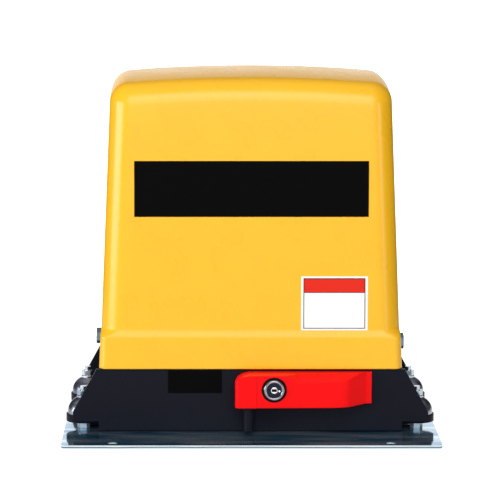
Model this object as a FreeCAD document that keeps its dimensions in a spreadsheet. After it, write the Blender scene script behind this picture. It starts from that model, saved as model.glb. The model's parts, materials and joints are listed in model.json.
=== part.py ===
import FreeCAD, Part
import Sketcher
import math
import os

# Motor for a sliding gate. Millimetres; X to the right, Y to the gate at the rear, Z up.
# The origin is the centre of the base plate's underside.

# Driving sizes: lengths in millimetres, angles in degrees
SIZES = {
    "plate_width": 342,
    "plate_depth": 220,
    "plate_thick": 3,
    "plate_corner": 4,
    "anchor_inset_x": 46,
    "anchor_inset_y": 9,
    "anchor_radius": 4.5,
    "conduit_y": 15,
    "conduit_radius": 20,
    "stud_radius": 3,
    "stud_spare": 3.7,
    "nut_flats": 10,
    "nut_height": 5,
    "washer_thick": 1.6,
    "washer_radius": 6,
    "lug_radius": 16,
    "lug_height": 6.7,
    "dish_rim_height": 1.6,
    "housing_front": -53,
    "housing_rear": 82,
    "housing_bottom": 4,
    "housing_top": 61,
    "core_inset": 32,
    "wing_top_reach": 2,
    "wing_inset": 8.3,
    "wing_knee": 21.3,
    "wing_foot": 12.4,
    "casting_wall": 5,
    "chamber_left": -40,
    "chamber_right": 60,
    "partition": 6,
    "output_x": -2,
    "output_z": 42,
    "shaft_radius": 8.5,
    "shaft_end": 109,
    "bearing_radius": 17.5,
    "bearing_width": 10,
    "wheel_teeth": 30,
    "wheel_module": 2,
    "wheel_width": 12,
    "wheel_y": 20,
    "wheel_backlash": 0.15,
    "worm_pitch_radius": 9,
    "worm_shaft_radius": 5,
    "worm_bearing_radius": 13,
    "worm_bearing_width": 8,
    "hub_radius": 16,
    "hub_front": 10,
    "hub_rear": 29,
    "pinion_teeth": 15,
    "pinion_module": 4,
    "pinion_start": 86.5,
    "pinion_width": 20,
    "drive_pin_radius": 2.5,
    "drive_pin_y": 28,
    "release_travel": 5.1,
    "rod_radius": 3.5,
    "rod_tip": -61.4,
    "pivot_x": -2,
    "pivot_y": -66,
    "pivot_radius": 3,
    "post_radius": 5,
    "post_bottom": 7,
    "post_top": 29.2,
    "handle_bottom": 29.6,
    "handle_top": 59.5,
    "handle_front": -76.5,
    "handle_left": -14.5,
    "handle_tab": 110.3,
    "tab_length": 5.2,
    "handle_lean": 2.4,
    "end_slant": 17.6,
    "handle_round": 4,
    "slant_round": 14,
    "bevel_drop": 5.3,
    "bevel_depth": 10,
    "handle_wall": 4.5,
    "lock_x": 20.9,
    "lock_z": 46.3,
    "bezel_radius": 9.5,
    "barrel_radius": 8,
    "plug_radius": 7,
    "lid_thick": 5,
    "motor_base": 88,
    "motor_radius": 38,
    "motor_length": 102,
    "armature_radius": 27,
    "battery_side_room": 12,
    "battery_inner_room": 11,
    "battery_depth": 94,
    "battery_height": 151,
    "board_left": -50,
    "board_right": 80,
    "board_bottom": 85,
    "board_top": 205,
    "board_y": -30,
    "cover_bottom": 61.5,
    "cover_inset": 0.5,
    "skirt_corner": 7,
    "cover_front": -55,
    "cover_rear": 82,
    "cover_wall": 3,
    "skirt_top": 91,
    "shoulder_top": 97,
    "shoulder_inset": 1.6,
    "side_shoulder_inset": 0.5,
    "cover_draft": 2.25,
    "cover_apex": 331,
    "crown_radius": 1400,
    "corner_radius": 20,
    "top_round": 17,
    "gasket_width": 3,
    "screw_z": 78,
    "left_screw_y": 27,
    "right_screw_y": 0,
    "running_gap": 0.05,
    "seat_gap": 0.02,
}

doc = FreeCAD.newDocument("gate_motor")
sheet = doc.addObject("Spreadsheet::Sheet", "dims")
for row, (size_name, size_value) in enumerate(SIZES.items(), start=1):
    sheet.set("A%d" % row, size_name)
    sheet.set("B%d" % row, str(size_value))
    sheet.setAlias("B%d" % row, size_name)
doc.recompute()


class Size:
    """A size worked out from the sheet: its value now, and the same sum as an expression."""

    def __init__(self, value, text):
        self.value = value
        self.text = text

    def __add__(self, other):
        other = size(other)
        return Size(self.value + other.value, "(%s + %s)" % (self.text, other.text))

    def __sub__(self, other):
        other = size(other)
        return Size(self.value - other.value, "(%s - %s)" % (self.text, other.text))

    def __mul__(self, other):
        other = size(other)
        return Size(self.value * other.value, "(%s * %s)" % (self.text, other.text))

    def __truediv__(self, other):
        other = size(other)
        return Size(self.value / other.value, "(%s / %s)" % (self.text, other.text))

    def __neg__(self):
        return Size(-self.value, "(-1 * %s)" % self.text)

    def __radd__(self, other):
        return size(other) + self

    def __rsub__(self, other):
        return size(other) - self

    def __rmul__(self, other):
        return size(other) * self


def size(number):
    """A plain number or a Size, as a Size."""
    if isinstance(number, Size):
        return number
    return Size(float(number), "(%.6f)" % number)


def sine(angle):
    return Size(math.sin(math.radians(angle.value)), "sin(%s)" % angle.text)


def cosine(angle):
    return Size(math.cos(math.radians(angle.value)), "cos(%s)" % angle.text)


def tangent(angle):
    return Size(math.tan(math.radians(angle.value)), "tan(%s)" % angle.text)


class Sheet:
    """The sheet's cells by name, such as dim.plate_width."""

    def __getattr__(self, name):
        return Size(float(sheet.get(name)), "dims." + name)


dim = Sheet()


def bind(target, property_name, amount):
    target.setExpression(property_name, size(amount).text)


# Turns that lay a piece made along Z along another axis
TURNS = {
    "x": FreeCAD.Rotation(FreeCAD.Vector(0, 1, 0), 90),
    "y": FreeCAD.Rotation(FreeCAD.Vector(1, 0, 0), -90),
    "z": FreeCAD.Rotation(),
}


def place(target, axis, centre, start):
    """Put the target's own origin on an axis; centre has the other two coordinates in x, y, z order."""
    target.Placement = FreeCAD.Placement(FreeCAD.Vector(), TURNS[axis])
    across = [letter for letter in "xyz" if letter != axis]
    bind(target, "Placement.Base." + axis, start)
    for letter, amount in zip(across, centre):
        bind(target, "Placement.Base." + letter, amount)
    return target


# Plain solids

def block(x, y, z):
    """A box between two planes along each axis."""
    box = doc.addObject("Part::Box", "block")
    for side, letter, (low, high) in (("Length", "x", x), ("Width", "y", y), ("Height", "z", z)):
        bind(box, side, size(high) - low)
        bind(box, "Placement.Base." + letter, low)
    return box


def rod(axis, centre, span, radius):
    """A cylinder along one axis."""
    cylinder = doc.addObject("Part::Cylinder", "rod")
    bind(cylinder, "Radius", radius)
    bind(cylinder, "Height", size(span[1]) - span[0])
    return place(cylinder, axis, centre, span[0])


def ball(centre, height, radius):
    sphere = doc.addObject("Part::Sphere", "ball")
    bind(sphere, "Radius", radius)
    return place(sphere, "z", centre, height)


def hexagon(axis, centre, span, flats):
    """A hexagonal bar along one axis, measured across its flats."""
    bar = doc.addObject("Part::Prism", "hexagon")
    bar.Polygon = 6
    bind(bar, "Circumradius", size(flats) / math.sqrt(3))
    bind(bar, "Height", size(span[1]) - span[0])
    return place(bar, axis, centre, span[0])


def fuse(*pieces):
    joined = doc.addObject("Part::MultiFuse", "joined")
    joined.Shapes = list(pieces)
    return joined


def group(*pieces):
    """Several separate pieces of one kind as one node."""
    together = doc.addObject("Part::Compound", "group")
    together.Links = list(pieces)
    return together


def cut(base, *tools):
    trimmed = doc.addObject("Part::Cut", "trimmed")
    trimmed.Base = base
    trimmed.Tool = tools[0] if len(tools) == 1 else fuse(*tools)
    return trimmed


def common(base, tool):
    shared = doc.addObject("Part::Common", "shared")
    shared.Base = base
    shared.Tool = tool
    return shared


def ring(axis, centre, span, inner, outer):
    return cut(rod(axis, centre, span, outer), rod(axis, centre, span, inner))


def rounded(base, radius, chosen):
    """Fillet the edges that the test picks."""
    doc.recompute()
    fillet = doc.addObject("Part::Fillet", "rounded")
    fillet.Base = base
    numbered = enumerate(base.Shape.Edges, start=1)
    fillet.Edges = [(number, radius.value, radius.value) for number, edge in numbered if chosen(edge)]
    return fillet


# Sketched solids

def origin_plane(body, role):
    return next(plane for plane in body.Origin.OriginFeatures if plane.Role == role)


def new_sketch(body, role, offset):
    """A sketch on one of the body's own origin planes, moved along that plane's normal."""
    sketch = body.newObject("Sketcher::SketchObject", "sketch")
    sketch.AttachmentSupport = (origin_plane(body, role), [""])
    sketch.MapMode = "FlatFace"
    bind(sketch, "AttachmentOffset.Base.z", offset)
    return sketch


def fix_point(sketch, geometry, end, point):
    for direction, amount in zip(("DistanceX", "DistanceY"), point):
        amount = size(amount)
        number = sketch.addConstraint(Sketcher.Constraint(direction, -1, 1, geometry, end, amount.value))
        bind(sketch, "Constraints[%d]" % number, amount)


def draw_polygon(sketch, points):
    """A closed outline with every corner placed from the sheet."""
    corners = [FreeCAD.Vector(size(x).value, size(y).value, 0) for x, y in points]
    count = len(corners)
    first = sketch.GeometryCount
    for index in range(count):
        line = Part.LineSegment(corners[index], corners[(index + 1) % count])
        sketch.addGeometry(line, False)
    for index in range(count):
        following = first + (index + 1) % count
        sketch.addConstraint(Sketcher.Constraint("Coincident", first + index, 2, following, 1))
    for index, point in enumerate(points):
        fix_point(sketch, first + index, 1, point)


def draw_circle(sketch, centre, radius):
    middle = FreeCAD.Vector(size(centre[0]).value, size(centre[1]).value, 0)
    number = sketch.addGeometry(Part.Circle(middle, FreeCAD.Vector(0, 0, 1), size(radius).value), False)
    fix_point(sketch, number, 3, centre)
    held = sketch.addConstraint(Sketcher.Constraint("Radius", number, size(radius).value))
    bind(sketch, "Constraints[%d]" % held, radius)


def draw_rounded_rectangle(sketch, x, y, radius):
    """Four sides and four corner arcs that run smoothly into them."""
    left, right = size(x[0]), size(x[1])
    front, rear = size(y[0]), size(y[1])
    centres = [
        (right - radius, rear - radius),
        (left + radius, rear - radius),
        (left + radius, front + radius),
        (right - radius, front + radius),
    ]
    arcs = []
    for turn, (across, along) in enumerate(centres):
        middle = FreeCAD.Vector(across.value, along.value, 0)
        circle = Part.Circle(middle, FreeCAD.Vector(0, 0, 1), radius.value)
        start = turn * math.pi / 2
        arcs.append(Part.ArcOfCircle(circle, start, start + math.pi / 2))
    for index in range(4):
        sketch.addGeometry(arcs[index], False)
        following = arcs[(index + 1) % 4]
        sketch.addGeometry(Part.LineSegment(arcs[index].EndPoint, following.StartPoint), False)
    for index in range(4):
        arc = 2 * index
        sketch.addConstraint(Sketcher.Constraint("Tangent", arc, 2, arc + 1, 1))
        sketch.addConstraint(Sketcher.Constraint("Tangent", arc + 1, 2, (arc + 2) % 8, 1))
    for index, centre in enumerate(centres):
        fix_point(sketch, 2 * index, 3, centre)
        held = sketch.addConstraint(Sketcher.Constraint("Radius", 2 * index, radius.value))
        bind(sketch, "Constraints[%d]" % held, radius)


def add_feature(body, kind, profile, length=None):
    feature = body.newObject("PartDesign::" + kind, kind.lower())
    feature.Profile = profile
    if length is not None:
        bind(feature, "Length", length)
    return feature


def extrusion(axis, span, points):
    """A polygon pushed along Y or Z; the polygon is in x and z, or in x and y."""
    body = doc.addObject("PartDesign::Body", "extrusion")
    role = {"y": "XZ_Plane", "z": "XY_Plane"}[axis]
    offset = -size(span[0]) if axis == "y" else span[0]
    sketch = new_sketch(body, role, offset)
    draw_polygon(sketch, points)
    pad = add_feature(body, "Pad", sketch, size(span[1]) - span[0])
    pad.Reversed = axis == "y"
    return body


def rounded_plate(x, y, z, radius):
    """A flat plate with rounded corners."""
    body = doc.addObject("PartDesign::Body", "plate")
    sketch = new_sketch(body, "XY_Plane", z[0])
    draw_rounded_rectangle(sketch, x, y, size(radius))
    add_feature(body, "Pad", sketch, size(z[1]) - z[0])
    return body


def round_pattern(body, feature, count):
    pattern = body.newObject("PartDesign::PolarPattern", "pattern")
    pattern.Originals = [feature]
    pattern.Axis = (origin_plane(body, "Z_Axis"), [""])
    pattern.Angle = 360
    bind(pattern, "Occurrences", count)
    body.Tip = pattern
    return pattern


def twisted(point, angle):
    """A point of a gap, given outward and sideways from the gear's centre, turned about that centre."""
    outward, sideways = point
    return (
        outward * cosine(angle) - sideways * sine(angle),
        outward * sine(angle) + sideways * cosine(angle),
    )


def toothed(width, tip_radius, count, gap, twist):
    """A disc along its own Z, centred on its own origin, with gaps all round that turn with height."""
    body = doc.addObject("PartDesign::Body", "toothed")
    blank = new_sketch(body, "XY_Plane", -width / 2)
    draw_circle(blank, (0, 0), tip_radius)
    add_feature(body, "Pad", blank, width)
    ends = []
    for side in (-1, 1):
        sketch = new_sketch(body, "XY_Plane", side * width / 2)
        draw_polygon(sketch, [twisted(point, side * twist) for point in gap])
        ends.append(sketch)
    doc.recompute()
    notch = body.newObject("PartDesign::SubtractiveLoft", "notch")
    notch.Profile = ends[0]
    notch.Sections = [ends[1]]
    notch.Ruled = True
    round_pattern(body, notch, count)
    return body


def gear_gap(pitch_radius, module, half_gap, reach):
    """A straight-sided gap with sides at 20 degrees, from the root to just past the tips."""
    slope = math.tan(math.radians(20))
    root = 1.25 * module
    return [
        (pitch_radius - root, -half_gap + root * slope),
        (pitch_radius + reach, -half_gap - reach * slope),
        (pitch_radius + reach, half_gap + reach * slope),
        (pitch_radius - root, half_gap - root * slope),
    ]


def coil(pitch, turns, profile):
    """A ridge or wire wound about its own Z; the profile is in x and z."""
    body = doc.addObject("PartDesign::Body", "coil")
    sketch = new_sketch(body, "XZ_Plane", 0)
    draw_polygon(sketch, profile)
    doc.recompute()
    winding = body.newObject("PartDesign::AdditiveHelix", "winding")
    winding.Profile = sketch
    winding.ReferenceAxis = (sketch, ["V_Axis"])
    winding.Mode = 0
    bind(winding, "Pitch", pitch)
    bind(winding, "Height", pitch * turns)
    return body


nodes = {}

# Places that several pieces share
output = (dim.output_x, dim.output_z)
pivot = (dim.pivot_x, dim.pivot_y)
lock = (dim.lock_x, dim.lock_z)
plate_half = dim.plate_width / 2
core_half = plate_half - dim.core_inset
wing_half = plate_half - dim.wing_inset
wing_top_half = core_half + dim.wing_top_reach
cover_half = core_half - dim.cover_inset
dish_radius = dim.lug_radius - 1.3
stud_x = core_half + dish_radius + dim.seat_gap
stud_inboard = dim.casting_wall + dim.lug_radius - 0.5
stud_front = dim.housing_front + stud_inboard
stud_rear = dim.housing_rear - stud_inboard
studs = [(side * stud_x, y) for side in (-1, 1) for y in (stud_front, stud_rear)]
lug_bottom = dim.plate_thick + dim.nut_height + dim.washer_thick
lug_top = lug_bottom + dim.lug_height
dish_rim = lug_top + dim.dish_rim_height
dish_top = dish_rim + dish_radius * 0.914
stud_top = dish_top + dim.washer_thick + dim.nut_height + dim.stud_spare
floor_top = dim.housing_bottom + dim.casting_wall
inner_front = dim.housing_front + dim.casting_wall
inner_rear = dim.housing_rear - dim.casting_wall
inner_half = core_half - dim.casting_wall
conduit = ((dim.chamber_right + dim.partition + inner_half) / 2, dim.conduit_y)
wheel_radius = dim.wheel_teeth * dim.wheel_module / 2
worm_x = dim.output_x + wheel_radius + dim.worm_pitch_radius
worm = (worm_x, dim.wheel_y)
lid_top = dim.housing_top + dim.lid_thick
front_bearing_start = inner_front + 4
rear_bearing_start = inner_rear - 11

# Base plate and its four corner studs
plate_holes = [
    rod("z", (x * (plate_half - dim.anchor_inset_x), y * (dim.plate_depth / 2 - dim.anchor_inset_y)),
        (-1, dim.plate_thick + 1), dim.anchor_radius)
    for x in (-1, 1) for y in (-1, 1)
]
plate_holes.append(rod("z", conduit, (-1, dim.plate_thick + 1), dim.conduit_radius))
plate_holes += [rod("z", stud, (-1, dim.plate_thick + 1), dim.stud_radius + dim.seat_gap) for stud in studs]
nodes["base_plate"] = cut(
    rounded_plate(
        (-plate_half, plate_half),
        (-dim.plate_depth / 2, dim.plate_depth / 2),
        (0, dim.plate_thick),
        dim.plate_corner,
    ),
    *plate_holes,
)
nodes["mounting_studs"] = group(*[rod("z", stud, (0, stud_top), dim.stud_radius) for stud in studs])


def nuts(start):
    """A nut on every stud."""
    span = (start, start + dim.nut_height)
    bore = dim.stud_radius + dim.seat_gap
    return group(*[
        cut(hexagon("z", stud, span, dim.nut_flats), rod("z", stud, span, bore))
        for stud in studs
    ])


def washers(start):
    span = (start, start + dim.washer_thick)
    bore = dim.stud_radius + 0.2
    return [ring("z", stud, span, bore, dim.washer_radius) for stud in studs]


nodes["levelling_nuts"] = nuts(dim.plate_thick)
nodes["clamp_nuts"] = nuts(dish_top + dim.washer_thick)
nodes["lug_washers"] = group(*washers(lug_bottom - dim.washer_thick), *washers(dish_top))
nodes["dished_washers"] = group(*[
    cut(
        fuse(
            rod("z", stud, (lug_top, dish_rim), dish_radius),
            common(ball(stud, dish_rim, dish_radius), rod("z", stud, (dish_rim, dish_top), dim.lug_radius)),
        ),
        rod("z", stud, (lug_top - 1, dish_top + 1), dim.stud_radius + 0.2),
    )
    for stud in studs
])

# Gearbox housing
wing_outline = [
    (-core_half, dim.housing_bottom),
    (core_half, dim.housing_bottom),
    (core_half, dim.wing_foot),
    (wing_half, dim.wing_foot),
    (wing_half, dim.wing_knee),
    (wing_top_half, dim.housing_top),
    (-wing_top_half, dim.housing_top),
    (-wing_half, dim.wing_knee),
    (-wing_half, dim.wing_foot),
    (-core_half, dim.wing_foot),
]
lugs = [rod("z", stud, (lug_bottom, lug_top), dim.lug_radius) for stud in studs]
lug_webs = []


def in_order(amount):
    return amount.value


for x, y in studs:
    side = math.copysign(1, x.value)
    inward = -math.copysign(1, y.value)
    foot_near = y + inward * (dim.washer_radius + 0.5)
    foot_depth = sorted((foot_near, foot_near + inward * 8), key=in_order)
    web_span = sorted((side * (core_half - 1), x), key=in_order)
    foot_span = sorted((side * (core_half - 1), x + side * 3), key=in_order)
    lug_webs.append(block(web_span, (y - 8, y + 8), (lug_bottom, lug_top)))
    lug_webs.append(block(foot_span, foot_depth, (dim.housing_bottom, lug_bottom + 1)))
outer_casting = fuse(
    extrusion("y", (dim.housing_front, inner_front), wing_outline),
    extrusion("y", (inner_rear, dim.housing_rear), wing_outline),
    block(
        (-core_half, core_half),
        (dim.housing_front, dim.housing_rear),
        (dim.housing_bottom, dim.housing_top),
    ),
    rod("z", pivot, (dim.post_bottom, dim.post_top), dim.post_radius),
    rod("z", pivot, (dim.post_top - 2, dim.post_top), dim.post_radius + 3.5),
    block(
        (dim.pivot_x - 3.5, dim.pivot_x + 3.5),
        (dim.pivot_y, dim.housing_front + 1),
        (dim.post_bottom, dim.post_top),
    ),
    *lugs,
    *lug_webs,
)
bay_depth = (inner_front, inner_rear)
bay_height = (floor_top, dim.housing_top + 1)
hollow_casting = cut(
    outer_casting,
    block((-inner_half, dim.chamber_left - dim.partition), bay_depth, bay_height),
    block((dim.chamber_left, dim.chamber_right), bay_depth, bay_height),
    block((dim.chamber_right + dim.partition, inner_half), bay_depth, bay_height),
)
bearing_pad_x = (dim.output_x - 22, dim.output_x + 22)
pad_height = (floor_top - 1, dim.housing_top)
tab_half = 10
tab_height = (floor_top - 1, dim.screw_z + 10)
left_tab_y = (dim.left_screw_y - tab_half, dim.left_screw_y + tab_half)
right_tab_y = (dim.right_screw_y - tab_half, dim.right_screw_y + tab_half)
worm_seat_bottom = floor_top + 1
worm_seat_top = worm_seat_bottom + dim.worm_bearing_width
inside_casting = fuse(
    hollow_casting,
    block(bearing_pad_x, (inner_front - 1, front_bearing_start + dim.bearing_width), pad_height),
    block(bearing_pad_x, (rear_bearing_start - 6, inner_rear + 1), pad_height),
    rod("z", worm, (floor_top - 1, worm_seat_top), dim.worm_bearing_radius + 2.5),
    block((-inner_half, 8 - inner_half), left_tab_y, tab_height),
    block((inner_half - 8, inner_half), right_tab_y, tab_height),
)
bearing_seat = dim.bearing_radius + dim.seat_gap
lid_screw_places = [
    (x, y)
    for x in (dim.chamber_left - dim.partition / 2, dim.chamber_right + dim.partition / 2)
    for y in (inner_front + 4, (inner_front + inner_rear) / 2, inner_rear - 5)
]
lid_screw_radius = 2
keeper_left = dim.lock_x + 12.6
keeper_right = keeper_left + 3.5
keeper_z = (dim.lock_z - 4.3, dim.lock_z + 4.2)
screw_radius = 4
nodes["gearbox_housing"] = cut(
    inside_casting,
    rod("y", output, (front_bearing_start, front_bearing_start + dim.bearing_width + 1), bearing_seat),
    rod("y", output, (dim.housing_front - 1, front_bearing_start + 1), dim.rod_radius + dim.running_gap),
    rod("y", output, (rear_bearing_start, dim.housing_rear + 1), bearing_seat),
    rod("y", output, (rear_bearing_start - 7, rear_bearing_start + 1), dim.shaft_radius + 1),
    rod("z", worm, (worm_seat_bottom, worm_seat_top + 1), dim.worm_bearing_radius + dim.seat_gap),
    rod("z", pivot, (dim.post_bottom + 3, dim.post_top + 1), dim.pivot_radius + dim.running_gap),
    rod("z", conduit, (dim.housing_bottom - 1, floor_top + 1), dim.conduit_radius),
    rod("x", (dim.left_screw_y, dim.screw_z), (-inner_half - 1, 9 - inner_half), screw_radius + dim.seat_gap),
    rod("x", (dim.right_screw_y, dim.screw_z), (inner_half - 9, inner_half + 1), screw_radius + dim.seat_gap),
    block(
        (keeper_left - dim.seat_gap, keeper_right + dim.seat_gap),
        (dim.housing_front - 1, inner_front + 1),
        (keeper_z[0] - dim.seat_gap, keeper_z[1] + dim.seat_gap),
    ),
    *[rod("z", stud, (lug_bottom - 1, lug_top + 1), dim.stud_radius + 0.3) for stud in studs],
    *[
        rod("z", point, (dim.housing_top - 14, dim.housing_top + 1), lid_screw_radius + dim.seat_gap)
        for point in lid_screw_places
    ],
)

# Gearbox lid, with a hump over the worm wheel and a pedestal for the motor
hump_clear = wheel_radius + dim.wheel_module + 2.5
hump_y = (dim.wheel_y - dim.wheel_width / 2 - 5, dim.wheel_y + dim.wheel_width / 2 + 5)
upper_seat = dim.motor_base - dim.worm_bearing_width
lid_solid = fuse(
    block(
        (dim.chamber_left - dim.partition, dim.chamber_right + dim.partition),
        (inner_front - 3, inner_rear + 1),
        (dim.housing_top, lid_top),
    ),
    rod("y", output, (hump_y[0] - 4, hump_y[1] + 4), hump_clear + 4),
    rod("z", worm, (dim.housing_top, dim.motor_base), 20),
)
nodes["gearbox_lid"] = cut(
    lid_solid,
    block((-plate_half, plate_half), (-dim.plate_depth, dim.plate_depth), (0, dim.housing_top)),
    rod("y", output, hump_y, hump_clear),
    rod("z", worm, (dim.housing_top - 1, upper_seat - 8), 12.5),
    rod("z", worm, (upper_seat - 9, upper_seat + 1), dim.worm_shaft_radius + 1),
    rod("z", worm, (upper_seat, dim.motor_base + 1), dim.worm_bearing_radius + dim.seat_gap),
    *[
        rod("z", point, (dim.housing_top - 1, lid_top + 1), lid_screw_radius + 0.3)
        for point in lid_screw_places
    ],
)
nodes["lid_screws"] = group(*[
    fuse(
        rod("z", point, (dim.housing_top - 12, lid_top), lid_screw_radius),
        hexagon("z", point, (lid_top, lid_top + 3), 7),
    )
    for point in lid_screw_places
])

# Bearings and seal
front_bearing_span = (front_bearing_start, front_bearing_start + dim.bearing_width)
rear_bearing_span = (rear_bearing_start, rear_bearing_start + dim.bearing_width)
shaft_bore = dim.shaft_radius + dim.running_gap
nodes["front_bearing"] = ring("y", output, front_bearing_span, shaft_bore, dim.bearing_radius)
nodes["rear_bearing"] = ring("y", output, rear_bearing_span, shaft_bore, dim.bearing_radius)
seal_span = (rear_bearing_span[1], dim.housing_rear - 0.5)
nodes["shaft_seal"] = ring("y", output, seal_span, shaft_bore, dim.bearing_radius)
worm_bore = dim.worm_shaft_radius + dim.running_gap
lower_span = (worm_seat_bottom, worm_seat_top)
upper_span = (upper_seat, dim.motor_base)
nodes["worm_lower_bearing"] = ring("z", worm, lower_span, worm_bore, dim.worm_bearing_radius)
nodes["worm_upper_bearing"] = ring("z", worm, upper_span, worm_bore, dim.worm_bearing_radius)

# Motor
can_bottom = dim.motor_base + 5
can_top = can_bottom + dim.motor_length
cap_top = can_top + 8
can_inner = dim.motor_radius - 2
motor_span = (can_bottom + 12, can_top - 24)
brush_span = (can_top - 20, can_top - 12)
flange_span = (dim.motor_base, can_bottom)
nodes["motor_flange"] = ring("z", worm, flange_span, dim.worm_shaft_radius + 1, dim.motor_radius)
nodes["motor_can"] = ring("z", worm, (can_bottom, can_top), can_inner, dim.motor_radius)
nodes["motor_magnets"] = cut(
    ring("z", worm, motor_span, dim.armature_radius + 1.5, can_inner - dim.seat_gap),
    block((worm_x - 50, worm_x + 50), (dim.wheel_y - 9, dim.wheel_y + 9), motor_span),
)
brush_reach = (11.3, can_inner - 0.2)
nodes["motor_brushes"] = group(
    block((worm_x + brush_reach[0], worm_x + brush_reach[1]), (dim.wheel_y - 3, dim.wheel_y + 3), brush_span),
    block((worm_x - brush_reach[1], worm_x - brush_reach[0]), (dim.wheel_y - 3, dim.wheel_y + 3), brush_span),
)
motor_screw_places = [(worm_x + x * 20, dim.wheel_y + y * 20) for x in (-1, 1) for y in (-1, 1)]
nodes["motor_end_cap"] = cut(
    rod("z", worm, (can_top, cap_top), dim.motor_radius),
    rod("z", worm, (can_top - 1, cap_top + 1), worm_bore),
    *[
        rod("z", point, (can_top - 1, cap_top + 1), lid_screw_radius + dim.seat_gap)
        for point in motor_screw_places
    ],
)
nodes["motor_screws"] = group(*[
    fuse(
        rod("z", point, (can_top + 1, cap_top), lid_screw_radius),
        hexagon("z", point, (cap_top, cap_top + 3), 7),
    )
    for point in motor_screw_places
])

# Rotor
worm_lead = math.pi * dim.wheel_module
worm_turns = 5
half_thread = worm_lead / 4 - dim.wheel_backlash
flank = math.tan(math.radians(20))
thread_root = dim.worm_pitch_radius - 1.25 * dim.wheel_module
thread_tip = dim.worm_pitch_radius + dim.wheel_module - 0.1
buried = thread_root - 0.3
thread_profile = [
    (buried, -half_thread - (dim.worm_pitch_radius - buried) * flank),
    (thread_tip, -half_thread + (thread_tip - dim.worm_pitch_radius) * flank),
    (thread_tip, half_thread - (thread_tip - dim.worm_pitch_radius) * flank),
    (buried, half_thread + (dim.worm_pitch_radius - buried) * flank),
]
thread_start = dim.output_z - worm_lead * worm_turns / 2
nodes["worm_shaft"] = fuse(
    rod("z", worm, (worm_seat_bottom + 0.3, cap_top + 2), dim.worm_shaft_radius),
    rod("z", worm, (thread_start - 4, dim.output_z + worm_lead * worm_turns / 2 + 4), thread_root),
    place(coil(worm_lead, worm_turns, thread_profile), "z", worm, thread_start),
)
slot = [
    (dim.armature_radius - 9, -1.6 * size(1)),
    (dim.armature_radius + 1, -1.6 * size(1)),
    (dim.armature_radius + 1, 1.6 * size(1)),
    (dim.armature_radius - 9, 1.6 * size(1)),
]
armature_length = motor_span[1] - motor_span[0] - 4
armature_middle = (motor_span[0] + motor_span[1]) / 2
nodes["armature"] = cut(
    place(toothed(armature_length, dim.armature_radius, 12, slot, size(0)), "z", worm, armature_middle),
    rod("z", worm, motor_span, dim.worm_shaft_radius + dim.seat_gap),
)
nodes["commutator"] = ring(
    "z", worm, (brush_span[0] - 3, brush_span[1] + 3), dim.worm_shaft_radius + dim.seat_gap, 11)

# Output shaft with its worm wheel and pinion
pinion_end = dim.pinion_start + dim.pinion_width
circlip_width = 1.2
circlip_starts = (57, pinion_end + 0.1)
circlip_inner = dim.shaft_radius - 0.8
key_x = (dim.output_x - 2.5, dim.output_x + 2.5)
key_z = (dim.output_z + dim.shaft_radius - 2.5, dim.output_z + dim.shaft_radius + 2.5)
key_y = (dim.pinion_start + 2, pinion_end - 2)
pin_room = dim.drive_pin_radius + dim.running_gap
slot_y = (dim.drive_pin_y - pin_room, dim.drive_pin_y + dim.release_travel + pin_room + 0.3)
nodes["output_shaft"] = cut(
    rod("y", output, (front_bearing_start, dim.shaft_end), dim.shaft_radius),
    rod("y", output, (front_bearing_start - 1, slot_y[1]), dim.rod_radius + 0.5),
    block(
        (dim.output_x - 20, dim.output_x + 20),
        slot_y,
        (dim.output_z - pin_room, dim.output_z + pin_room),
    ),
    block(key_x, key_y, key_z),
    *[
        ring("y", output, (start, start + circlip_width), circlip_inner, dim.shaft_radius + 1)
        for start in circlip_starts
    ],
)
nodes["shaft_circlips"] = group(*[
    ring("y", output, (start, start + circlip_width), circlip_inner, dim.shaft_radius + 3)
    for start in circlip_starts
])
nodes["shaft_spacer"] = ring("y", output, (front_bearing_span[1] + 0.4, dim.hub_front), shaft_bore, 12)
wheel_gap = gear_gap(
    wheel_radius, dim.wheel_module, worm_lead / 4 + dim.wheel_backlash, dim.wheel_module + 1)
wheel_twist = dim.wheel_width / 2 * dim.wheel_module / (2 * dim.worm_pitch_radius) / wheel_radius * 57.29578
wheel_tip = wheel_radius + dim.wheel_module
nodes["worm_wheel"] = cut(
    fuse(
        place(
            toothed(dim.wheel_width, wheel_tip, dim.wheel_teeth, wheel_gap, wheel_twist),
            "y", output, dim.wheel_y,
        ),
        rod("y", output, (dim.hub_front, dim.hub_rear), dim.hub_radius),
    ),
    rod("y", output, (dim.hub_front - 1, dim.hub_rear + 1), shaft_bore),
    block(
        (dim.output_x - 20, dim.output_x + 20),
        (slot_y[0], dim.hub_rear + 1),
        (dim.output_z - pin_room, dim.output_z + pin_room),
    ),
)
pinion_radius = dim.pinion_teeth * dim.pinion_module / 2
pinion_half_gap = dim.pinion_module * math.pi / 4
pinion_gap = gear_gap(pinion_radius, dim.pinion_module, pinion_half_gap, dim.pinion_module + 1)
pinion_middle = dim.pinion_start + dim.pinion_width / 2
nodes["drive_pinion"] = cut(
    place(
        toothed(dim.pinion_width, pinion_radius + dim.pinion_module, dim.pinion_teeth, pinion_gap, size(0)),
        "y", output, pinion_middle,
    ),
    rod("y", output, (dim.pinion_start - 1, pinion_end + 1), dim.shaft_radius + dim.seat_gap),
    block(key_x, (dim.pinion_start - 1, pinion_end + 1), key_z),
)
nodes["pinion_key"] = block(key_x, key_y, key_z)

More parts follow.
